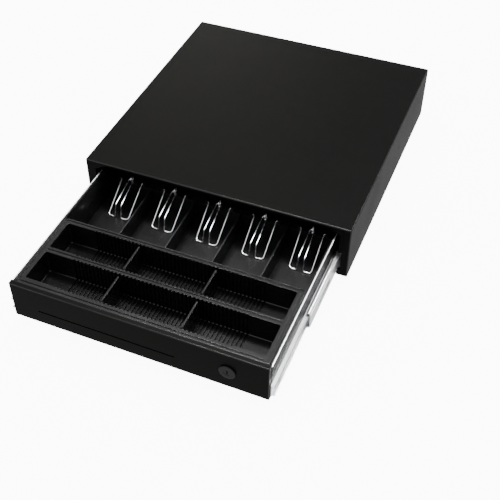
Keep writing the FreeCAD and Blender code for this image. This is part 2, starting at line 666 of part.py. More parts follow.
# ---------------------------------------------------------------- till
def clip_lugs(centre):
    """Two bored lugs that a clip's wire ends turn in."""
    lugs = []
    for side in (-1, 1):
        x0, x1 = sorted((centre + side * (CLIP_HALF_W + 2.0), centre + side * (CLIP_HALF_W + 5.8)))
        lugs.append(box(x0, x1, CLIP_PIVOT_Y - WIRE_R - 1.6, CLIP_PIVOT_Y + WIRE_R + 1.6,
                        DECK_TOP - DECK_T, CLIP_PIVOT_Z + WIRE_R + 1.6))
    return lugs


def till_insert():
    """The moulded till: floor, side walls, four note dividers and the deck that the clips stand on."""
    front = PAN_FRONT + SHEET + 2.2
    inner_front = 20.0
    walls = both_sides(box(TILL_IN_X, TILL_X, front, TILL_REAR, TILL_BOTTOM, TILL_TOP))
    floor = box(-TILL_X, TILL_X, inner_front, TILL_REAR, TILL_BOTTOM, TILL_FLOOR_TOP)
    rear = box(-TILL_X, TILL_X, BILL_REAR_Y, BILL_REAR_Y + 1.8, TILL_BOTTOM, DECK_TOP)
    deck = box(-TILL_X, TILL_X, BILL_REAR_Y, TILL_REAR, DECK_TOP - DECK_T, DECK_TOP)
    back = box(-TILL_X, TILL_X, TILL_REAR - 1.8, TILL_REAR, TILL_BOTTOM, DECK_TOP)
    parts = walls + [floor, rear, deck, back]
    half = TILL_DIVIDER / 2
    for x in BILL_WALLS:
        tall = box(x - half, x + half, BILL_FRONT_Y, BILL_REAR_Y, TILL_BOTTOM, TILL_DIVIDER_TOP)
        tall = tall.makeFillet(0.9, edges_where(tall, lambda a, b: (along_y(a, b) and a.z > TILL_BOTTOM + 1)
                                                or (upright(a, b) and a.y < BILL_FRONT_Y + 1)))
        parts.append(tall)
        parts.append(box(x - half, x + half, inner_front, BILL_REAR_Y, TILL_BOTTOM, TILL_LOW_TOP))
    for centre in BILL_CENTRES:
        parts += clip_lugs(centre)
    till = union(parts)
    bores = []
    for centre in BILL_CENTRES:
        x0 = centre - CLIP_HALF_W - 7
        bores.append(rod(WIRE_R + RUNNING, (x0, CLIP_PIVOT_Y, CLIP_PIVOT_Z), 2 * CLIP_HALF_W + 14, X))
        bores.append(rod(1.2 + SEAT, (centre, CLIP_PIVOT_Y + 0.35, DECK_TOP - DECK_T - 5), DECK_T + 6))
    return till.cut(bores)


def bill_clip(centre):
    """One sprung wire: pivot ends, outer arms, turned feet, upright steps, inner arms and rear bow."""
    py, pz = CLIP_PIVOT_Y, CLIP_PIVOT_Z
    foot_z = TILL_FLOOR_TOP + WIRE_R + 0.4
    half = [V(CLIP_HALF_W + 5.2, py, pz), V(CLIP_HALF_W, py, pz),
            V(CLIP_HALF_W - 0.4, py - 50.4, foot_z), V(CLIP_HALF_IN + 0.3, py - 51.6, foot_z),
            V(CLIP_HALF_IN, py - 46.2, DECK_TOP - 7.2), V(CLIP_HALF_IN - 1.1, *CLIP_BOW)]
    right = [V(centre + p.x, p.y, p.z) for p in half]
    left = [V(centre - p.x, p.y, p.z) for p in half]
    radii = [1.8, 4.5, 2.6, 2.2, 3.0]
    path = rounded_wire(right + left[::-1], radii + radii[::-1])
    return tube_along(path, WIRE_R)


def clip_eyes():
    """The screw eye that holds each clip's bow captive and stops the clip when it is up."""
    pieces = []
    y, z = CLIP_PIVOT_Y + 0.35, CLIP_PIVOT_Z + 3.6
    for centre in BILL_CENTRES:
        ring = Part.makeTorus(EYE_RING_R, EYE_WIRE_R, V(centre, y, z), X)
        shank = rod(1.2, (centre, y, DECK_TOP - 5), z - EYE_RING_R - DECK_TOP + 5)
        collar = rod(2.2, (centre, y, DECK_TOP), 1.0)
        pieces.append(union([ring, shank, collar]))
    return group(pieces)


# ---------------------------------------------------------------- coin tray
def coin_cup(front, back):
    """The hollow of one row: round corners, and a round edge along its floor."""
    cup = box(-TRAY_CUP_X, TRAY_CUP_X, front, back, TRAY_FLOOR_Z, TRAY_TOP + 5)
    cup = cup.makeFillet(3.2, edges_where(cup, upright))
    return cup.makeFillet(1.9, [e for e in cup.Edges if e.BoundBox.ZMax < TRAY_FLOOR_Z + 0.01])


def coin_tray():
    """A lift-out tray of two rows, grooved so that its dividers can be moved."""
    y0, y1 = TRAY_RIM_Y
    (f0, f1), (r0, r1) = TRAY_ROWS
    rim = rounded_box(-TRAY_X, TRAY_X, y0, y1, TRAY_TOP - TRAY_RIM_T, TRAY_TOP, 5.0)
    rim = rim.makeFillet(0.6, [e for e in rim.Edges if e.BoundBox.ZMin > TRAY_TOP - 0.01])
    skirt = ring(0, 1.6, TRAY_TOP - 6, TRAY_TOP - 1)
    block = rounded_box(-TRAY_CUP_X - TRAY_WALL, TRAY_CUP_X + TRAY_WALL, f0 - TRAY_WALL, r1 + TRAY_WALL,
                        TRAY_BOTTOM, TRAY_TOP - TRAY_RIM_T / 2, 4.0)
    tray = union([rim, skirt, block])
    under = TRAY_TOP - TRAY_RIM_T
    cuts = [box(-TRAY_CUP_X, TRAY_CUP_X, f1 + TRAY_WALL, r0 - TRAY_WALL, TRAY_BOTTOM - 1, under)]
    cuts.append(ring(2.4, 4.9, TRAY_TOP - 1.2, TRAY_TOP + 1))
    cuts.append(box(-TRAY_CUP_X, TRAY_CUP_X, f1 + 3.2, r0 - 3.2, TRAY_TOP - 1.2, TRAY_TOP + 1))
    for front, back in TRAY_ROWS:
        cuts.append(coin_cup(front, back))
        for i in range(-GROOVES_EACH_SIDE, GROOVES_EACH_SIDE + 1):
            x = i * GROOVE_PITCH
            cuts.append(box(x - GROOVE_W / 2, x + GROOVE_W / 2, front - GROOVE_DEPTH, back + GROOVE_DEPTH,
                            TRAY_FLOOR_Z - FLOOR_GROOVE, TRAY_TOP + 5))
    return tray.cut(cuts)


def ring(start, end, z0, z1):
    """A band that follows the tray's rim, between two distances in from its edge."""
    y0, y1 = TRAY_RIM_Y
    outer, inner = [rounded_box(d - TRAY_X, TRAY_X - d, y0 + d, y1 - d, z0 - grow, z1 + grow, max(5 - d, 1))
                    for d, grow in ((start, 0), (end, 1))]
    return outer.cut(inner)


def coin_divider(row, side):
    """A plate that drops into one pair of wall grooves and the floor groove between them."""
    a, b = TRAY_ROWS[row]
    x = side * DIVIDER_GROOVE * GROOVE_PITCH
    y0, y1 = a - GROOVE_DEPTH + GAP, b + GROOVE_DEPTH - GAP
    low = TRAY_FLOOR_Z - FLOOR_GROOVE + GAP
    outline = [(y0, low), (y1, low), (y1, DIVIDER_TOP - 5), (y1 - 5, DIVIDER_TOP),
               (y0 + 5, DIVIDER_TOP), (y0, DIVIDER_TOP - 5)]
    corners = [V(x - DIVIDER_T / 2, y, z) for y, z in outline]
    return Part.Face(Part.makePolygon(corners + corners[:1])).extrude(V(DIVIDER_T, 0, 0))


# ---------------------------------------------------------------- latch, solenoid and switch
SWING = math.radians(LATCH_SWING)
TAIL_X = LATCH_X + LATCH_TAIL * (1 + math.cos(SWING)) / 2
TAIL_Y = LATCH_Y + LATCH_TAIL * math.sin(SWING)
PLUNGER_Z = LATCH_Z + LATCH_T / 2
PLUNGER_COLLAR = LATCH_Y + 16.2


def latch_bracket():
    """The raised platform that carries the latch, the solenoid and the switch."""
    (x0, x1), (y0, y1) = PLATFORM_X, PLATFORM_Y
    t = PLATFORM_T
    parts = [box(x0, x1, y0, y1, PLATFORM_Z - t, PLATFORM_Z)]
    parts += [box(x, x + t, y0, y1, BASE_TOP, PLATFORM_Z) for x in (x0, x1 - t)]
    parts += [box(a, b, y0, y1, BASE_TOP, BASE_TOP + t) for a, b in ((x0 - 12, x0 + t), (x1 - t, x1 + 12))]
    sx, sy = SWITCH_PIVOT
    table = PLATFORM_Z + 7
    parts.append(box(sx - 19, sx + 9, sy + 2.5, sy + 18.5, PLATFORM_Z - t, table))
    hollow = box(sx - 19 + t, sx + 9 - t, sy + 2.5 + t, sy + 18.5 - t, PLATFORM_Z - 2 * t, table - t)
    holes = [rod(SCREW_HOLE_R, (x, y, BASE_TOP - 1), 4) for x, y in BRACKET_SCREWS]
    holes.append(rod(3 + SEAT, (LATCH_X, LATCH_Y, PLATFORM_Z - 3), 4))
    return union(parts).cut(holes + [hollow])


def latch_pivot():
    """A shouldered stud riveted in the platform."""
    parts = [rod(6.0, (LATCH_X, LATCH_Y, PLATFORM_Z), LATCH_Z - GAP - PLATFORM_Z),
             rod(LATCH_PIN_R, (LATCH_X, LATCH_Y, PLATFORM_Z - PLATFORM_T),
                 LATCH_TOP + 2.6 - PLATFORM_Z + PLATFORM_T)]
    groove = rod(LATCH_PIN_R + 1, (LATCH_X, LATCH_Y, LATCH_TOP + GAP), 1.0)
    groove = groove.cut(rod(LATCH_PIN_R - 0.6, (LATCH_X, LATCH_Y, LATCH_TOP), 3))
    return union(parts).cut(groove)


def latch_clip():
    """The spring clip that keeps the latch on its stud."""
    z = LATCH_TOP + GAP + SEAT
    ring = rod(5.6, (LATCH_X, LATCH_Y, z), 0.9)
    mouth = box(LATCH_X - 1.6, LATCH_X + 1.6, LATCH_Y, LATCH_Y + 8, z - 1, z + 2)
    return ring.cut([rod(LATCH_PIN_R - 0.6 + SEAT, (LATCH_X, LATCH_Y, z - 1), 3), mouth])


def latch_lever():
    """The hook, drawn engaged and then swung back to its released place."""
    nose_back = STRIKER_Y - STRIKER_R - 0.4
    nose_front = nose_back - 5.6
    arm_in = STRIKER_R + 0.9
    arm_out = arm_in + 8
    hook = plate([(-5, nose_back), (-5, nose_back - 1.6), (1.5, nose_front), (arm_out, nose_front),
                  (arm_out, LATCH_Y), (arm_in, LATCH_Y), (arm_in, nose_back)], LATCH_Z, LATCH_T)
    tail = box(LATCH_X, LATCH_X + LATCH_TAIL + 5, LATCH_Y - 3.5, LATCH_Y + 3.5, LATCH_Z, LATCH_TOP)
    lobe = box(LATCH_X - LATCH_LOBE, LATCH_X, LATCH_Y - 2, LATCH_Y + 2, LATCH_Z, LATCH_TOP)
    lobe_end = rod(2.0, (LATCH_X - LATCH_LOBE, LATCH_Y, LATCH_Z), LATCH_T)
    boss = rod(8.0, (LATCH_X, LATCH_Y, LATCH_Z), LATCH_T)
    lever = union([hook, tail, lobe, lobe_end, boss])
    x = LATCH_X + LATCH_TAIL
    slot = union([box(x - 1.4, x + 1.4, LATCH_Y - 1.75, LATCH_Y + 1.75, LATCH_Z - 1, LATCH_TOP + 1)]
                 + [rod(1.75, (x + d, LATCH_Y, LATCH_Z - 1), LATCH_T + 2) for d in (-1.4, 1.4)])
    lever = lever.cut([slot, rod(LATCH_PIN_R + RUNNING, (LATCH_X, LATCH_Y, LATCH_Z - 1), LATCH_T + 2)])
    lever.rotate(V(LATCH_X, LATCH_Y, 0), Z, LATCH_SWING)
    return lever


def solenoid_frame():
    y0, y1 = COIL_Y
    half = 14.0
    parts = [box(TAIL_X - half, TAIL_X + half, y0, y1, PLATFORM_Z, PLATFORM_Z + 2),
             box(TAIL_X - half, TAIL_X + half, y0, y1, PLATFORM_Z + 22, PLATFORM_Z + 24),
             box(TAIL_X - half, TAIL_X + half, y0, y0 + 2, PLATFORM_Z, PLATFORM_Z + 24),
             box(TAIL_X - half, TAIL_X + half, y1 - 2, y1, PLATFORM_Z, PLATFORM_Z + 24)]
    return union(parts).cut(rod(PLUNGER_R + GAP, (TAIL_X, y0 - 1, PLUNGER_Z), 4, Y))


def solenoid_coil():
    """The bobbin's two flanges and the winding between them."""
    y0, y1 = COIL_Y[0] + 2 + SEAT, COIL_Y[1] - 2 - SEAT
    parts = [rod(9.4, (TAIL_X, y0, PLUNGER_Z), 1.6, Y),
             rod(9.4, (TAIL_X, y1 - 1.6, PLUNGER_Z), 1.6, Y),
             rod(8.8, (TAIL_X, y0, PLUNGER_Z), y1 - y0, Y)]
    return union(parts).cut(rod(PLUNGER_R + GAP, (TAIL_X, y0 - 1, PLUNGER_Z), y1 - y0 - 4, Y))


def solenoid_plunger():
    """The armature, with a forked end and a cross pin in the latch's slot, and a collar for its spring."""
    y0 = TAIL_Y - 5
    end = LATCH_Y + 54
    parts = [rod(PLUNGER_R, (TAIL_X, y0, PLUNGER_Z), end - y0, Y),
             rod(7.0, (TAIL_X, PLUNGER_COLLAR, PLUNGER_Z), 1.2, Y)]
    fork = box(TAIL_X - 8, TAIL_X + 8, y0 - 1, PLUNGER_COLLAR - 0.2, LATCH_Z - 0.4, LATCH_TOP + 0.4)
    pin = rod(1.5, (TAIL_X, TAIL_Y, PLUNGER_Z - 4.4), 8.8)
    return union(parts).cut(fork).fuse(pin).removeSplitter()


def plunger_spring():
    return coil(PLUNGER_R + 1.3, 0.5, 1.3, 2.6, (TAIL_X, PLUNGER_COLLAR + 1.75, PLUNGER_Z), Y)


def switch_body():
    """The snap switch, with its button and the two ears that hold the lever's pivot."""
    x, y = SWITCH_PIVOT
    low = PLATFORM_Z + 7
    body = box(x - 17, x + 7, y + 3.2, y + 13, low, low + 10)
    button = rod(0.9, (x + 3.4, y + 0.85, PLUNGER_Z), 3, Y)
    ears = [box(x - 2, x + 2, y - 1.6, y + 3.4, z, z + 1.2) for z in (PLUNGER_Z - 3.0, PLUNGER_Z + 1.8)]
    terminals = [box(x - 15 + 9 * i, x - 14.2 + 9 * i, y + 13, y + 17, low + 3, low + 7) for i in range(3)]
    return union([body, button] + ears + terminals).cut(rod(0.6 + RUNNING, (x, y, low - 5), 20))


def switch_lever():
    """The thin lever between the latch's lobe and the switch's button."""
    x, y = SWITCH_PIVOT
    low, high = PLUNGER_Z - 1.4, PLUNGER_Z + 1.4
    parts = [rod(1.3, (x, y, low), high - low), rod(0.6, (x, y, PLUNGER_Z - 2.9), 5.8),
             box(x, x + 15.4, y - 0.3, y + 0.3, low, high)]
    lever = union(parts)
    lever.rotate(V(x, y, 0), Z, -8.2)
    return lever


# ---------------------------------------------------------------- kick-out spring, socket and wiring
def ejector_bracket():
    x0, x1 = EJECTOR_X - 24, EJECTOR_X + 24
    foot = box(x0, x1, EJECTOR_Y, EJECTOR_Y + 28, BASE_TOP, BASE_TOP + 1.5)
    wall = box(x0, x1, EJECTOR_Y, EJECTOR_Y + 1.5, BASE_TOP, EJECTOR_Z + 14)
    holes = [rod(SCREW_HOLE_R, (x, y, BASE_TOP - 1), 4) for x, y in EJECTOR_SCREWS]
    holes.append(rod(3.0 + SEAT, (EJECTOR_X, EJECTOR_Y - 1, EJECTOR_Z), 4, Y))
    return union([foot, wall]).cut(holes)


def ejector_guide():
    """A nylon peg that keeps the spring straight."""
    front = PAN_REAR + 5
    peg = rod(4.0, (EJECTOR_X, front, EJECTOR_Z), EJECTOR_Y - front, Y)
    peg = peg.makeFillet(1.5, [e for e in peg.Edges if e.BoundBox.YMax < front + 0.01])
    stem = rod(3.0, (EJECTOR_X, EJECTOR_Y, EJECTOR_Z), 4.0, Y)
    return peg.fuse(stem).removeSplitter()


def ejector_spring():
    """The compression spring that the drawer's rear wall presses in its last few millimetres."""
    turns = 9.0
    wire = 0.7
    pitch = (EJECTOR_FREE - 2 * wire - 0.2) / turns
    return coil(6.0, wire, pitch, turns, (EJECTOR_X, EJECTOR_Y - EJECTOR_FREE + wire, EJECTOR_Z), Y)


def jack_socket():
    """The socket that the printer's lead plugs into."""
    inside = HOUSING_D - SHEET
    body = box(JACK_X - 7, JACK_X + 7, inside - 17, HOUSING_D + 0.4, JACK_Z - 6.5, JACK_Z + 6.5)
    flange = box(JACK_X - 10, JACK_X + 10, inside - 1.5, inside, JACK_Z - 9.5, JACK_Z + 9.5)
    mouth = box(JACK_X - 5, JACK_X + 5, inside - 12, HOUSING_D + 2, JACK_Z - 3.5, JACK_Z + 3.5)
    keyway = box(JACK_X - 2, JACK_X + 2, inside - 8, HOUSING_D + 2, JACK_Z - 5.0, JACK_Z)
    return union([body, flange]).cut([mouth, keyway])


def wiring():
    """The two-core lead from the socket along the floor to the solenoid."""
    z = BASE_TOP + LEAD_R + SEAT
    start = HOUSING_D - SHEET - 17
    end = COIL_Y[1] + SEAT
    points = [V(JACK_X, start - SEAT, JACK_Z - 2), V(JACK_X, start - 14, JACK_Z - 2),
              V(JACK_X + 6, start - 24, z + 12), V(JACK_X + 18, start - 26, z),
              V(JACK_X + 38, start - 8, z), V(JACK_X + 60, start + 4, z),
              V(LATCH_X - 34, start + 6, z), V(LATCH_X - 6, start + 6.5, z),
              V(LATCH_X + 16, start + 7, z + 10),
              V(TAIL_X - 6, start + 5.5, z + 26), V(TAIL_X, end + 4.5, PLUNGER_Z), V(TAIL_X, end, PLUNGER_Z)]
    radii = []
    for i in range(1, len(points) - 1):
        before, after = points[i - 1] - points[i], points[i + 1] - points[i]
        half = math.acos(max(-1, min(1, before.dot(after) / before.Length / after.Length))) / 2
        radii.append(0.45 * min(before.Length, after.Length) * math.tan(half))
    return tube_along(rounded_wire(points, radii), LEAD_R)


# ---------------------------------------------------------------- write every node
def main():
    os.makedirs("parts", exist_ok=True)
    write("housing_cover", housing_cover())
    write("base_plate", base_plate())
    write("back_panel", back_panel())
    write("back_screws", back_screws())
    write("rubber_feet", rubber_feet())
    write("foot_screws", housing_screws(FOOT_PLACES, -4.0, 9.0))
    write("cover_screws", housing_screws(COVER_SCREWS, 0.0, 5.0))
    bracket_seat = BASE_TOP + 1.5
    write("bracket_screws", top_screws(BRACKET_SCREWS + EJECTOR_SCREWS, bracket_seat, 5.0))

    write("slide_bracket_right", slide_bracket())
    write("slide_bracket_left", mirrored(slide_bracket()))
    write("slide_outer_right", slide_outer())
    write("slide_outer_left", mirrored(slide_outer()))
    write("slide_rivets", slide_rivets())
    write("slide_middle_right", slide_middle(), MIDDLE_SHARE)
    write("slide_middle_left", mirrored(slide_middle()), MIDDLE_SHARE)
    write("slide_inner_right", slide_inner(), 1)
    write("slide_inner_left", mirrored(slide_inner()), 1)
    write("slide_screws", slide_screws(), 1)
    write("outer_ball_cages", group(both_sides(outer_ball_cage())), OUTER_CAGE_SHARE)
    write("inner_ball_cages", group(both_sides(inner_ball_cage())), INNER_CAGE_SHARE)
    write("outer_balls", balls(OUTER_BALL), OUTER_CAGE_SHARE)
    write("inner_balls", balls(INNER_BALL), INNER_CAGE_SHARE)

    write("drawer_pan", drawer_pan(), 1)
    write("front_panel", front_panel(), 1)
    write("panel_screws", panel_screws(), 1)
    write("striker", striker(), 1)
    write("lock_body", lock_body(), 1)
    write("lock_nut", lock_nut(), 1)
    write("lock_plug", lock_plug(), 1)
    write("lock_cam", lock_cam(), 1)
    write("lock_cam_screw", lock_cam_screw(), 1)

    write("till_insert", till_insert(), 1)
    write("clip_eyes", clip_eyes(), 1)
    for i, centre in enumerate(BILL_CENTRES):
        write("bill_clip_%d" % (i + 1), bill_clip(centre), 1)
    write("coin_tray", coin_tray(), 1)
    places = [(0, -1), (0, 1), (1, -1), (1, 1)]
    for i, (row, side) in enumerate(places):
        write("coin_divider_%d" % (i + 1), coin_divider(row, side), 1)

    write("latch_bracket", latch_bracket())
    write("latch_pivot", latch_pivot())
    write("latch_clip", latch_clip())
    write("latch_lever", latch_lever())
    write("solenoid_frame", solenoid_frame())
    write("solenoid_coil", solenoid_coil())
    write("solenoid_plunger", solenoid_plunger())
    write("plunger_spring", plunger_spring())
    write("switch_body", switch_body())
    write("switch_lever", switch_lever())
    write("ejector_bracket", ejector_bracket())
    write("ejector_guide", ejector_guide())
    write("ejector_spring", ejector_spring())
    write("jack_socket", jack_socket())
    write("wiring", wiring())

    whole = Part.makeCompound(list(written.values())).BoundBox
    print("nodes", len(written), "box", [round(v, 2) for v in
          (whole.XMin, whole.XMax, whole.YMin, whole.YMax, whole.ZMin, whole.ZMax)])


main()
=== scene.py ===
# %% [markdown]
# # A cash drawer, standing open
# The steel housing, the drawer on its ball-bearing slides, the moulded till with its wire clips and
# the lift-out coin tray all come from the CAD frame, each in its true place. This notebook gives them
# the finishes of the real materials, lights them like a product on a pale table, and sets the camera.
# We load the frame first, because every later cell reads its places and sizes.

# %% Load the frame
import json
import math

import bpy
import numpy as np
from mathutils import Matrix, Vector


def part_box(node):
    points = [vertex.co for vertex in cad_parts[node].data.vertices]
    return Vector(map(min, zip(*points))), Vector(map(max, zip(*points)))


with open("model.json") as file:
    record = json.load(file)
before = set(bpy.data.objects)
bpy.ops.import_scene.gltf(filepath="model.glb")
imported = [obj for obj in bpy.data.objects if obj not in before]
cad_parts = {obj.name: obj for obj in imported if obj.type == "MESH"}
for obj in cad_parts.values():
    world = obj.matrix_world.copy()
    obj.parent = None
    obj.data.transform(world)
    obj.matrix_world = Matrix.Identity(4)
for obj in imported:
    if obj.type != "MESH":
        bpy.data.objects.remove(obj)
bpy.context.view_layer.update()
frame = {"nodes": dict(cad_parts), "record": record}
nodes = frame["nodes"]

# %% [markdown]
# ## Shader arithmetic
# A finish is a small formula: a base colour, plus a little noise, times a mask. Writing it as wired-up
# Math nodes is slow to read, so one class wraps a socket and lets Python's own signs add the nodes, and
# one method adds every other kind of node.

# %% A socket that does arithmetic
EVEN = (1.0, 1.0, 1.0)  # a pattern that is stretched in no direction
EDGE_SAMPLES = 6


class Flow:
    """One output of a shader node. Arithmetic on it adds a Math node and gives the new output."""

    def __init__(self, finish, socket):
        self.finish = finish
        self.socket = socket

    def _math(self, operation, *values):
        return self.finish.node("ShaderNodeMath", {"operation": operation}, dict(enumerate(values)))

    def __add__(self, other):
        return self._math("ADD", self, other)

    def __sub__(self, other):
        return self._math("SUBTRACT", self, other)

    def __rsub__(self, other):
        return self._math("SUBTRACT", other, self)

    def __mul__(self, other):
        return self._math("MULTIPLY", self, other)

    __radd__ = __add__
    __rmul__ = __mul__

    def __abs__(self):
        return self._math("ABSOLUTE", self)

    def least(self, other):
        return self._math("MINIMUM", self, other)

    def most(self, other):
        return self._math("MAXIMUM", self, other)

    def step(self, low, high, to_low=0.0, to_high=1.0):
        """A smooth ramp: to_low below low, to_high above high."""
        ramp = {"Value": self, "From Min": low, "From Max": high, "To Min": to_low, "To Max": to_high}
        return self.finish.node("ShaderNodeMapRange", {"interpolation_type": "SMOOTHSTEP"}, ramp)


class Finish:
    """A material under construction, with a Principled shader at its end."""

    def __init__(self, name, **fixed):
        self.material = bpy.data.materials.new(name)
        self.material.use_nodes = True
        self.tree = self.material.node_tree
        self.tree.nodes.clear()
        self.shader = self.tree.nodes.new("ShaderNodeBsdfPrincipled")
        end = self.tree.nodes.new("ShaderNodeOutputMaterial")
        self.tree.links.new(self.shader.outputs["BSDF"], end.inputs["Surface"])
        for key, value in fixed.items():
            self.shader.inputs[key.replace("_", " ").title().replace("Ior", "IOR")].default_value = value

    def put(self, socket, value):
        """Links a flow into a socket, or sets the socket to a number or a colour."""
        if isinstance(value, Flow):
            self.tree.links.new(value.socket, socket)
        elif hasattr(value, "__len__") and len(value) == 3 and socket.type == "RGBA":
            socket.default_value = (*value, 1.0)
        else:
            socket.default_value = value

    def node(self, kind, settings=None, inputs=None, output=0):
        """Adds a node: its settings are set first, then the values or links of its sockets."""
        made = self.tree.nodes.new(kind)
        for key, value in (settings or {}).items():
            setattr(made, key, value)
        for key, value in (inputs or {}).items():
            self.put(made.inputs[key], value)
        return Flow(self, made.outputs[output])

    def place(self, scale):
        """Object coordinates in metres, stretched by a Mapping node."""
        where = self.node("ShaderNodeTexCoord", output="Object")
        return self.node("ShaderNodeMapping", {}, {"Vector": where, "Scale": scale})

    def axis(self, name):
        """One coordinate of the surface, X, Y or Z, in metres."""
        where = self.node("ShaderNodeTexCoord", output="Object")
        return self.node("ShaderNodeSeparateXYZ", {}, {0: where}, output=name)

    def noise(self, size, detail=3.0, roughness=0.5, stretch=EVEN):
        """Fractal noise whose features are about size metres across."""
        inputs = {"Vector": self.place(tuple(s / size for s in stretch)), "Scale": 1.0,
                  "Detail": detail, "Roughness": roughness}
        return self.node("ShaderNodeTexNoise", {}, inputs, output="Fac")

    def cells(self, size):
        """Distance to scattered points about size metres apart."""
        spot = self.place((1.0 / size,) * 3)
        return self.node("ShaderNodeTexVoronoi", {"feature": "F1"}, {"Vector": spot, "Scale": 1.0},
                         output="Distance")

    def blend(self, amount, first, second):
        """Mixes two colours by a flow."""
        made = self.tree.nodes.new("ShaderNodeMix")
        made.data_type = "RGBA"
        sockets = [s for s in made.inputs if s.enabled]
        for socket, value in zip(sockets, (amount, first, second)):
            self.put(socket, value)
        return Flow(self, next(s for s in made.outputs if s.enabled))

    def finish(self, colour=None, roughness=None, metallic=None, coat=None, height=None, relief=1.0,
               distance=0.0002, edge=0.0):
        """Joins the flows to the shader. The height goes through a Bump node, over edges that the
        shading rounds to a radius of edge metres."""
        ways = {"Base Color": colour, "Roughness": roughness, "Metallic": metallic, "Coat Weight": coat}
        for key, value in ways.items():
            if value is not None:
                self.put(self.shader.inputs[key], value)
        if height is not None:
            inputs = {"Height": height, "Strength": relief, "Distance": distance}
            bump = self.node("ShaderNodeBump", {}, inputs)
            if edge:
                rounded = self.node("ShaderNodeBevel", {"samples": EDGE_SAMPLES}, {"Radius": edge})
                self.put(bump.socket.node.inputs["Normal"], rounded)
            self.put(self.shader.inputs["Normal"], bump)
        return self.material


print("shader helpers ready")

# %% [markdown]
# ## Powder coat
# Housing, drawer and front are folded sheet under black powder coat. Up close it has a fine orange
# peel, from powder that melted and flowed, and a few broad, faint differences in gloss. Where hands and
# the drawer's travel rub, along the front lip and the outer edges, it is a little smoother and greyer.

# %% Black powder coat
COAT_BASE = (0.0017, 0.0017, 0.0015)
COAT_WORN = (0.020, 0.020, 0.019)
COAT_DUST = (0.03, 0.029, 0.028)
COAT_SHINE = 0.03
PEEL_RELIEF, PEEL_HEIGHT = 0.32, 0.0003
BEND_RADIUS = 0.0007
# bright plated metal for the painted highlight along the drawer pan's top edge
PAINTED_HEM_HIGHLIGHT = (0.80, 0.81, 0.83)


def edge_wear(paint, low, high, width):
    """Closeness to the edges of a box: the middle one of the three distances to its nearest faces,
    turned into 1 on an edge and 0 at width from it."""
    gaps = []
    for name, a, b in zip("XYZ", low, high):
        middle, half = (a + b) / 2, (b - a) / 2
        gaps.append(half - abs(paint.axis(name) - middle))
    first, second, third = gaps
    middle_gap = first.least(second).most(first.most(second).least(third))
    return middle_gap.step(0.0, width, 1.0, 0.0)


def shades(base, darker, lighter):
    """Two shades of one colour."""
    return tuple(c * darker for c in base), tuple(c * lighter for c in base)


def powder_coat(name, node, gloss, width=0.0022, highlight_above=None):
    """Black coat for one sheet-metal piece. Above the height in the last argument, the top edge is painted
    as bright plated metal: a painted highlight for the glare on the rounded hem.
    """
    low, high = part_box(node)
    paint = Finish(name, specular_ior_level=COAT_SHINE, coat_roughness=0.16)
    peel = paint.noise(0.0011, detail=2.0, roughness=0.6)
    broad = paint.noise(0.09, detail=2.0)
    speck = paint.noise(0.0005, detail=1.0)
    # the bends and corners are polished by hands and sleeves, so they carry a thin clear gloss
    bend = edge_wear(paint, low, high, width)
    wear = bend * paint.noise(0.012, detail=4.0).step(0.44, 0.70)
    dust = paint.noise(0.004, detail=6.0, roughness=0.7).step(0.62, 0.80) * 0.18
    colour = paint.blend(broad * 0.5 + speck * 0.3, *shades(COAT_BASE, 0.75, 1.3))
    colour = paint.blend(wear * 0.4, colour, COAT_WORN)
    colour = paint.blend(dust * 0.08, colour, COAT_DUST)
    rough = broad * 0.10 + peel * 0.08 + gloss - wear * 0.10 + dust * 0.5
    height = peel + speck * 0.3
    if highlight_above is None:
        return paint.finish(colour=colour, roughness=rough, coat=bend * 0.7, height=height,
                            relief=PEEL_RELIEF, distance=PEEL_HEIGHT, edge=BEND_RADIUS)
    # painted highlight: from this height up, the top edge is bright plated metal in place of the glare
    # that the rounded hem catches
    hem_highlight = paint.axis("Z").step(highlight_above, highlight_above + 0.0002)
    colour = paint.blend(hem_highlight, colour, PAINTED_HEM_HIGHLIGHT)
    return paint.finish(colour=colour, roughness=rough, metallic=hem_highlight, height=height,
                        relief=PEEL_RELIEF, distance=PEEL_HEIGHT)


pan_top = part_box("drawer_pan")[1][2]
coats = {
    "housing_cover": powder_coat("powder_coat_cover", "housing_cover", 0.36),
    "base_plate": powder_coat("powder_coat_base", "base_plate", 0.40),
    "back_panel": powder_coat("powder_coat_back", "back_panel", 0.38),
    # the pan's top 0.6 mm carries a painted highlight in bright plated metal
    "drawer_pan": powder_coat("powder_coat_pan", "drawer_pan", 0.34, 0.0012, highlight_above=pan_top - 0.0006),
    "front_panel": powder_coat("powder_coat_front", "front_panel", 0.34, 0.0016),
}
print("powder coats", sorted(coats))

# %% [markdown]
# ## Bare metals
# The slides, brackets and latch parts are zinc-plated strip: bright, a little cloudy, with fine lines
# along the way it was rolled. The note clips are polished plated wire. Each metal differs in how long
# its rolling lines are and how much they blur a reflection, so one recipe takes those as numbers.

# %% Metals
def metal(name, colour, rough, lines=(1.0, 0.04, 1.0), cloud=0.25, relief=0.10, stain=0.25):
    """Metal whose noise is stretched along the rolling direction, with cloudy plating and dull spots."""
    paint = Finish(name, metallic=1.0)
    drawn = paint.noise(0.0005, detail=3.0, roughness=0.65, stretch=lines)
    patches = paint.noise(0.011, detail=4.0, roughness=0.6)
    spots = paint.cells(0.0035).step(0.05, 0.30, 1.0, 0.0)
    dark = tuple(c * 0.72 for c in colour)
    tint = paint.blend(patches.step(0.35, 0.75) * cloud + spots * stain * 0.3, colour, dark)
    blur = drawn * 0.14 + patches * 0.12 + spots * 0.05 + (rough - 0.12)
    return paint.finish(colour=tint, roughness=blur, height=drawn, relief=relief, distance=0.0001)


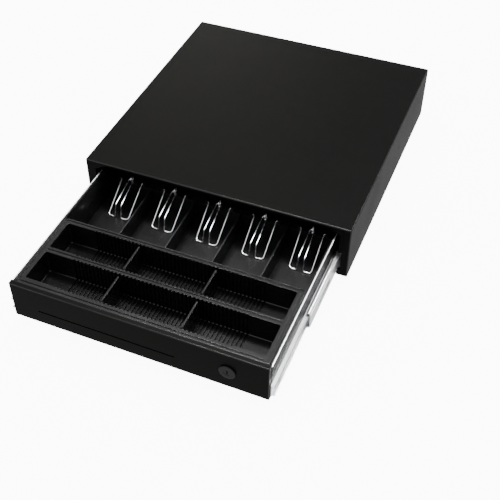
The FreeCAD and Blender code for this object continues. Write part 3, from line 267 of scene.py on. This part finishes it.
zinc = metal("bright_zinc", (0.86, 0.87, 0.89), 0.30)
wire = metal("polished_wire", (0.92, 0.93, 0.95), 0.26, lines=EVEN, cloud=0.08, relief=0.03, stain=0.1)
ball = metal("ball_steel", (0.72, 0.73, 0.75), 0.12, lines=EVEN, cloud=0.05, relief=0.02, stain=0.0)
screw_steel = metal("screw_steel", (0.42, 0.43, 0.45), 0.34, lines=EVEN, cloud=0.35)
pressed = metal("pressed_steel", (0.52, 0.53, 0.55), 0.33, lines=(0.05, 1.0, 1.0), cloud=0.3)
spring_steel = metal("spring_steel", (0.36, 0.36, 0.38), 0.28, lines=EVEN, cloud=0.3)
lock_metal = metal("lock_plating", (0.012, 0.012, 0.013), 0.30, lines=EVEN, cloud=0.12, relief=0.05)
print("metals", [m.name for m in (zinc, wire, ball, screw_steel, pressed, spring_steel, lock_metal)])

# %% [markdown]
# ## Moulded plastics and rubber
# The till and the coin tray are injection-moulded in black. Their mould was finely grained, so the light
# spreads a little, and long thin scuffs run across them. The rubber feet are duller.

# %% Plastics and rubber
def moulded(name, base, gloss, grain=0.0006, relief=0.25, scuff=0.25, specular=0.45, edge=0.0):
    """Grained plastic: cell noise for the grain, long thin noise for scuffs, broad noise for the sheen."""
    paint = Finish(name, specular_ior_level=specular)
    grains = paint.cells(grain)
    broad = paint.noise(0.05, detail=3.0)
    scuffs = paint.noise(0.0016, detail=5.0, roughness=0.75, stretch=(0.22, 1.0, 1.0)).step(0.60, 0.78)
    colour = paint.blend(broad.step(0.3, 0.7), *shades(base, 0.82, 1.18))
    colour = paint.blend(scuffs * scuff * 0.35, colour, tuple(min(1.0, c * 2.6 + 0.012) for c in base))
    rough = broad * 0.12 + grains * 0.10 + scuffs * scuff * 0.4 + gloss
    return paint.finish(colour=colour, roughness=rough, height=grains, relief=relief, distance=0.00008,
                        edge=edge)


till_black, tray_black = (0.004, 0.004, 0.0042), (0.003, 0.003, 0.0032)
till_plastic = moulded("till_moulding", till_black, 0.18, relief=0.12, specular=0.25, edge=0.0006)
tray_plastic = moulded("tray_moulding", tray_black, 0.11, relief=0.06, specular=0.26, edge=0.0007)
divider_plastic = moulded("divider_moulding", tray_black, 0.11, relief=0.06, specular=0.26, edge=0.0007)
rubber = moulded("foot_rubber", (0.014, 0.014, 0.014), 0.62, grain=0.0009, relief=0.4, specular=0.3)
switch_case = moulded("switch_moulding", (0.030, 0.030, 0.033), 0.25)
socket_case = moulded("socket_moulding", (0.034, 0.034, 0.037), 0.32)
nylon = moulded("natural_nylon", (0.66, 0.64, 0.58), 0.36, scuff=0.1)
tape = moulded("winding_tape", (0.50, 0.29, 0.06), 0.22, grain=0.0012, scuff=0.1)
sleeve = moulded("lead_sleeve", (0.022, 0.022, 0.022), 0.42)
print("plastics", [m.name for m in (till_plastic, tray_plastic, divider_plastic, rubber, nylon, tape)])

# %% [markdown]
# ## Dressing the frame
# Each CAD piece keeps its mesh and gets the finish of its own material. The record says which slot a
# piece belongs to, so one table from slot to finish dresses them all, and the painted sheets, whose
# wear follows their own edges, are looked up by name first.

# %% Finishes by slot
by_slot = {
    "black_coat": coats["housing_cover"], "zinc_steel": zinc, "ball_steel": ball, "chrome_wire": wire,
    "screw_steel": screw_steel, "till_plastic": till_plastic, "tray_plastic": tray_plastic,
    "divider_plastic": divider_plastic, "foot_rubber": rubber, "lock_metal": lock_metal,
    "lever_steel": pressed, "spring_steel": spring_steel, "coil_tape": tape, "switch_plastic": switch_case,
    "socket_plastic": socket_case, "nylon": nylon, "lead_sleeve": sleeve,
}
slot_of = {entry["node"]: entry["material_slot"] for entry in frame["record"]["subparts"]}
for name, obj in nodes.items():
    finish = coats.get(name, by_slot[slot_of[name]])
    obj.data.materials.clear()
    obj.data.materials.append(finish)
print("dressed", len(nodes), "nodes")

# %% [markdown]
# ## Table and light
# The drawer stands on one pale table that runs past the view on every side, under a large soft light,
# with softer ones around it and an even glow from the room. Two small lights only make highlights: they
# draw the thin bright lines along the bends of the sheet metal and the rims of the mouldings.

# %% Table
def flat_grid(width, depth, height, columns, rows):
    """A level sheet: x and y run evenly over the width and depth, and z is one height."""
    u, v = np.meshgrid(np.linspace(-0.5, 0.5, columns), np.linspace(-0.5, 0.5, rows))
    points = np.stack([u.ravel() * width, v.ravel() * depth, np.full(u.size, height)], axis=1)
    at = np.arange((rows - 1) * columns).reshape(rows - 1, columns)[:, :-1].ravel()
    return points, np.stack([at, at + 1, at + columns + 1, at + columns], axis=1)


points, faces = flat_grid(8.0, 8.0, 0.0, 9, 9)
sheet = bpy.data.meshes.new("table")
sheet.from_pydata(points.tolist(), [], faces.tolist())
table = bpy.data.objects.new("table", sheet)
bpy.context.scene.collection.objects.link(table)
cloth = Finish("pale_table", specular_ior_level=0.1, emission_strength=10.0,
               emission_color=(1.0, 1.0, 1.0, 1.0))
weave = cloth.blend(cloth.noise(0.3), (0.90, 0.90, 0.90), (0.93, 0.93, 0.93))
table.data.materials.append(cloth.finish(colour=weave, roughness=cloth.noise(0.02) * 0.1 + 0.8))
# the table lights nothing and mirrors in nothing, as if the drawer stood on a dark sheet and was cut out
table.visible_diffuse = False
table.visible_glossy = False
print("table", table.dimensions[:])

# %% Lights
def soft_light(name, at, towards, size, power, colour=(1.0, 1.0, 1.0), shine_only=False):
    """A rectangular area light that faces a point. With shine_only, it makes highlights and no more."""
    lamp = bpy.data.lights.new(name, "AREA")
    lamp.shape = "RECTANGLE"
    lamp.size, lamp.size_y = size
    lamp.energy = power
    lamp.color = colour
    obj = bpy.data.objects.new(name, lamp)
    obj.location = at
    obj.rotation_euler = (Vector(towards) - Vector(at)).to_track_quat("-Z", "Y").to_euler()
    obj.visible_diffuse = not shine_only
    bpy.context.scene.collection.objects.link(obj)
    return obj


soft_light("overhead", (0.0, -0.1, 2.2), (0.0, -0.1, 0.0), (1.8, 1.2), 24.0)
soft_light("edge_strip", (0.1, 0.35, 2.2), (0.0, 0.0, 0.0), (1.6, 0.20), 200.0, shine_only=True)
soft_light("side_strip", (1.1, 1.7, 2.0), (0.0, 0.0, 0.0), (0.5, 0.5), 50.0, shine_only=True)
soft_light("right_side", (2.4, -0.7, 1.1), (0.0, 0.0, 0.05), (1.4, 1.0), 1.5)
soft_light("left_front", (-1.9, -1.9, 1.3), (0.0, -0.1, 0.05), (1.4, 1.0), 16.0)
soft_light("back_left", (-1.15, 2.15, 1.05), (-0.1, 0.3, 0.1), (1.0, 0.5), 12.0, colour=(1.0, 1.0, 0.88))
soft_light("low_front", (-0.5, -2.4, 0.25), (0.0, -0.3, 0.05), (2.4, 0.35), 6.0)
world = bpy.data.worlds.new("room")
bpy.context.scene.world = world
world.use_nodes = True
glow = world.node_tree.nodes["Background"]
glow.inputs["Color"].default_value = (1.0, 1.0, 1.0, 1.0)
glow.inputs["Strength"].default_value = 1.3

# %% [markdown]
# ## Camera
# The view looks down at the front right corner from a little over a metre away. Its place, its slight
# roll and its lens are the ones that put the drawer's corners where a viewer standing there sees them.

# %% Camera
azimuth, elevation, roll = (math.radians(a) for a in (24.8558, 43.4486, -1.6744))
target = Vector((0.0137, -0.1129, 0.062))
distance = 1.2791
back = Vector((math.sin(azimuth) * math.cos(elevation), -math.cos(azimuth) * math.cos(elevation),
               math.sin(elevation)))
level = (-back).cross(Vector((0, 0, 1))).normalized()
upward = level.cross(-back)
right = level * math.cos(roll) + upward * math.sin(roll)
upward = upward * math.cos(roll) - level * math.sin(roll)
camera = bpy.data.objects.new("camera", bpy.data.cameras.new("camera"))
bpy.context.scene.collection.objects.link(camera)
turned = Matrix((right, upward, back)).transposed().to_4x4()
camera.matrix_world = Matrix.Translation(target + back * distance) @ turned
camera.data.sensor_width = 36.0
camera.data.lens = 65.14
camera.data.shift_x = 0.0725
camera.data.shift_y = -0.0446
camera.data.dof.use_dof = False
bpy.context.scene.camera = camera
print("camera at", [round(v, 3) for v in camera.location], "lens", camera.data.lens)
